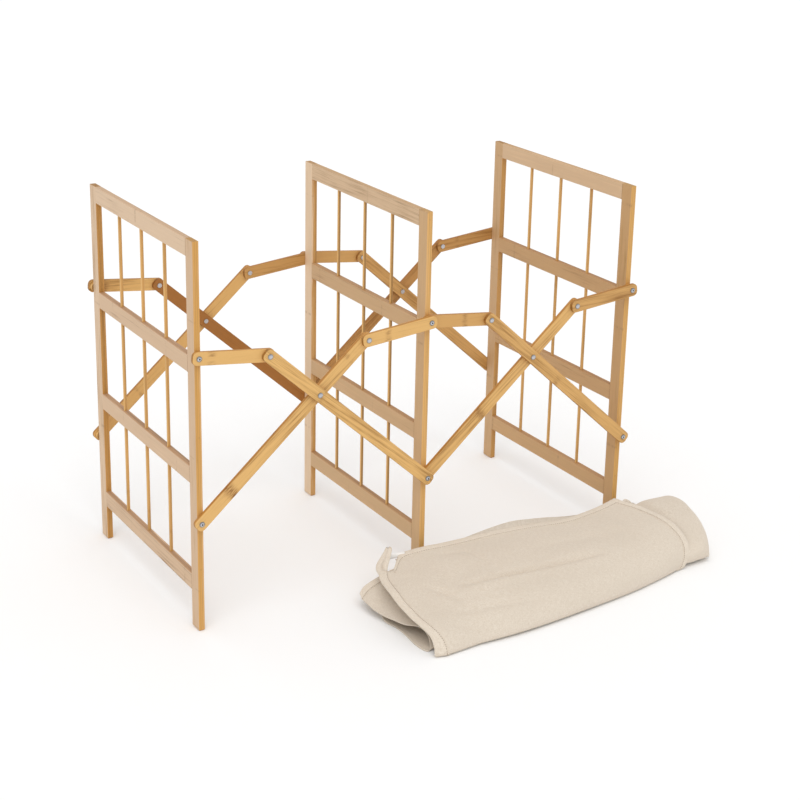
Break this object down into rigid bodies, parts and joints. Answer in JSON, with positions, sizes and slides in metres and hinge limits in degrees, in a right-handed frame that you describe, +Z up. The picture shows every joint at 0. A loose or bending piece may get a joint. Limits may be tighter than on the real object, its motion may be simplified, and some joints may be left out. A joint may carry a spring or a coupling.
{
  "type": "folding laundry hamper frame",
  "caption": "Folding bamboo frame of ladder panels on scissor arms that holds a cloth laundry liner, shown with the liner folded beside it.",
  "frame": {"origin": "on the floor under the middle of the middle panel", "axes": "+X along the row of panels, -Y the front, +Z up"},
  "size_m": [0.907, 0.6679, 0.62],
  "materials": {
    "bamboo_panel": "clear satin lacquer on laminated bamboo",
    "bamboo_bar": "clear satin lacquer on solid bamboo slats",
    "bamboo_dowel": "clear satin lacquer",
    "bamboo_spacer": "clear satin lacquer",
    "screw_steel": "bright zinc plate",
    "rivet_steel": "bright nickel plate",
    "liner_cloth": "plain-weave cotton and linen canvas, unbleached"
  },
  "bodies": {
    "middle_panel": {"middle_back_stile": "bamboo_panel", "middle_dowels": "bamboo_dowel", "middle_front_stile": "bamboo_panel", "middle_rail_1": "bamboo_panel", "middle_rail_2": "bamboo_panel", "middle_rail_3": "bamboo_panel", "middle_rail_4": "bamboo_panel", "middle_screws": "screw_steel"},
    "left_panel": {"left_back_stile": "bamboo_panel", "left_dowels": "bamboo_dowel", "left_front_stile": "bamboo_panel", "left_rail_1": "bamboo_panel", "left_rail_2": "bamboo_panel", "left_rail_3": "bamboo_panel", "left_rail_4": "bamboo_panel", "left_screws": "screw_steel", "left_spacers": "bamboo_spacer"},
    "right_panel": {"right_back_stile": "bamboo_panel", "right_dowels": "bamboo_dowel", "right_front_stile": "bamboo_panel", "right_rail_1": "bamboo_panel", "right_rail_2": "bamboo_panel", "right_rail_3": "bamboo_panel", "right_rail_4": "bamboo_panel", "right_screws": "screw_steel", "right_spacers": "bamboo_spacer"},
    "left_front_middle_arm": {"left_front_middle_arm": "bamboo_bar", "left_front_middle_arm_rivets": "rivet_steel"},
    "left_front_end_arm": {"left_front_end_arm": "bamboo_bar", "left_front_end_arm_rivets": "rivet_steel"},
    "left_front_middle_link": {"left_front_middle_link": "bamboo_bar", "left_front_middle_link_rivet": "rivet_steel"},
    "left_front_end_link": {"left_front_end_link": "bamboo_bar", "left_front_end_link_rivet": "rivet_steel"},
    "left_back_middle_arm": {"left_back_middle_arm": "bamboo_bar", "left_back_middle_arm_rivets": "rivet_steel"},
    "left_back_end_arm": {"left_back_end_arm": "bamboo_bar", "left_back_end_arm_rivets": "rivet_steel"},
    "left_back_middle_link": {"left_back_middle_link": "bamboo_bar", "left_back_middle_link_rivet": "rivet_steel"},
    "left_back_end_link": {"left_back_end_link": "bamboo_bar", "left_back_end_link_rivet": "rivet_steel"},
    "right_front_middle_arm": {"right_front_middle_arm": "bamboo_bar", "right_front_middle_arm_rivets": "rivet_steel"},
    "right_front_end_arm": {"right_front_end_arm": "bamboo_bar", "right_front_end_arm_rivets": "rivet_steel"},
    "right_front_middle_link": {"right_front_middle_link": "bamboo_bar", "right_front_middle_link_rivet": "rivet_steel"},
    "right_front_end_link": {"right_front_end_link": "bamboo_bar", "right_front_end_link_rivet": "rivet_steel"},
    "right_back_middle_arm": {"right_back_middle_arm": "bamboo_bar", "right_back_middle_arm_rivets": "rivet_steel"},
    "right_back_end_arm": {"right_back_end_arm": "bamboo_bar", "right_back_end_arm_rivets": "rivet_steel"},
    "right_back_middle_link": {"right_back_middle_link": "bamboo_bar", "right_back_middle_link_rivet": "rivet_steel"},
    "right_back_end_link": {"right_back_end_link": "bamboo_bar", "right_back_end_link_rivet": "rivet_steel"},
    "liner": {"liner": "liner_cloth"}
  },
  "joints": [
    {"name": "left_fold", "type": "hinge", "parent": "middle_panel", "child": "left_front_middle_arm", "pos_m": [0, -0.2025, 0.1815], "axis": [0, 1, 0], "range_deg": [0, 42]},
    {"name": "left_front_cross", "type": "hinge", "parent": "left_front_middle_arm", "child": "left_front_end_arm", "pos_m": [-0.19706, -0.2025, 0.35718], "axis": [0, -1, 0], "range_deg": [0, 84]},
    {"name": "left_panel_turn", "type": "hinge", "parent": "left_front_end_arm", "child": "left_panel", "pos_m": [-0.39412, -0.2025, 0.1815], "axis": [0, 1, 0], "range_deg": [0, 42]},
    {"name": "left_front_middle_link_turn", "type": "hinge", "parent": "middle_panel", "child": "left_front_middle_link", "pos_m": [0, -0.2025, 0.4445], "axis": [0, 1, 0], "range_deg": [0, 87.71]},
    {"name": "left_front_end_link_turn", "type": "hinge", "parent": "left_panel", "child": "left_front_end_link", "pos_m": [-0.39412, -0.2025, 0.4445], "axis": [0, -1, 0], "range_deg": [0, 87.71]},
    {"name": "left_back_middle_arm_turn", "type": "hinge", "parent": "middle_panel", "child": "left_back_middle_arm", "pos_m": [0, 0.2025, 0.1815], "axis": [0, 1, 0], "range_deg": [0, 42]},
    {"name": "left_back_cross", "type": "hinge", "parent": "left_back_middle_arm", "child": "left_back_end_arm", "pos_m": [-0.19706, 0.2025, 0.35718], "axis": [0, -1, 0], "range_deg": [0, 84]},
    {"name": "left_back_middle_link_turn", "type": "hinge", "parent": "middle_panel", "child": "left_back_middle_link", "pos_m": [0, 0.2025, 0.4445], "axis": [0, 1, 0], "range_deg": [0, 87.71]},
    {"name": "left_back_end_link_turn", "type": "hinge", "parent": "left_panel", "child": "left_back_end_link", "pos_m": [-0.39412, 0.2025, 0.4445], "axis": [0, -1, 0], "range_deg": [0, 87.71]},
    {"name": "right_fold", "type": "hinge", "parent": "middle_panel", "child": "right_front_middle_arm", "pos_m": [0, -0.2025, 0.1815], "axis": [0, -1, 0], "range_deg": [0, 42]},
    {"name": "right_front_cross", "type": "hinge", "parent": "right_front_middle_arm", "child": "right_front_end_arm", "pos_m": [0.19706, -0.2025, 0.35718], "axis": [0, 1, 0], "range_deg": [0, 84]},
    {"name": "right_panel_turn", "type": "hinge", "parent": "right_front_end_arm", "child": "right_panel", "pos_m": [0.39412, -0.2025, 0.1815], "axis": [0, -1, 0], "range_deg": [0, 42]},
    {"name": "right_front_middle_link_turn", "type": "hinge", "parent": "middle_panel", "child": "right_front_middle_link", "pos_m": [0, -0.2025, 0.4445], "axis": [0, -1, 0], "range_deg": [0, 87.71]},
    {"name": "right_front_end_link_turn", "type": "hinge", "parent": "right_panel", "child": "right_front_end_link", "pos_m": [0.39412, -0.2025, 0.4445], "axis": [0, 1, 0], "range_deg": [0, 87.71]},
    {"name": "right_back_middle_arm_turn", "type": "hinge", "parent": "middle_panel", "child": "right_back_middle_arm", "pos_m": [0, 0.2025, 0.1815], "axis": [0, -1, 0], "range_deg": [0, 42]},
    {"name": "right_back_cross", "type": "hinge", "parent": "right_back_middle_arm", "child": "right_back_end_arm", "pos_m": [0.19706, 0.2025, 0.35718], "axis": [0, 1, 0], "range_deg": [0, 84]},
    {"name": "right_back_middle_link_turn", "type": "hinge", "parent": "middle_panel", "child": "right_back_middle_link", "pos_m": [0, 0.2025, 0.4445], "axis": [0, -1, 0], "range_deg": [0, 87.71]},
    {"name": "right_back_end_link_turn", "type": "hinge", "parent": "right_panel", "child": "right_back_end_link", "pos_m": [0.39412, 0.2025, 0.4445], "axis": [0, 1, 0], "range_deg": [0, 87.71]},
    {"name": "liner_lift", "type": "slide", "parent": "middle_panel", "child": "liner", "axis": [0, 0, 1], "range_m": [0, 0.65]}
  ],
  "couplings": [
    {"joint": "left_front_cross", "follows": "left_fold", "ratio": 2},
    {"joint": "left_panel_turn", "follows": "left_fold", "ratio": 1},
    {"joint": "left_front_middle_link_turn", "follows": "left_fold", "ratio": 2.0879},
    {"joint": "left_front_end_link_turn", "follows": "left_fold", "ratio": 2.0879},
    {"joint": "left_back_middle_arm_turn", "follows": "left_fold", "ratio": 1},
    {"joint": "left_back_cross", "follows": "left_fold", "ratio": 2},
    {"joint": "left_back_middle_link_turn", "follows": "left_fold", "ratio": 2.0879},
    {"joint": "left_back_end_link_turn", "follows": "left_fold", "ratio": 2.0879},
    {"joint": "right_front_cross", "follows": "right_fold", "ratio": 2},
    {"joint": "right_panel_turn", "follows": "right_fold", "ratio": 1},
    {"joint": "right_front_middle_link_turn", "follows": "right_fold", "ratio": 2.0879},
    {"joint": "right_front_end_link_turn", "follows": "right_fold", "ratio": 2.0879},
    {"joint": "right_back_middle_arm_turn", "follows": "right_fold", "ratio": 1},
    {"joint": "right_back_cross", "follows": "right_fold", "ratio": 2},
    {"joint": "right_back_middle_link_turn", "follows": "right_fold", "ratio": 2.0879},
    {"joint": "right_back_end_link_turn", "follows": "right_fold", "ratio": 2.0879}
  ]
}
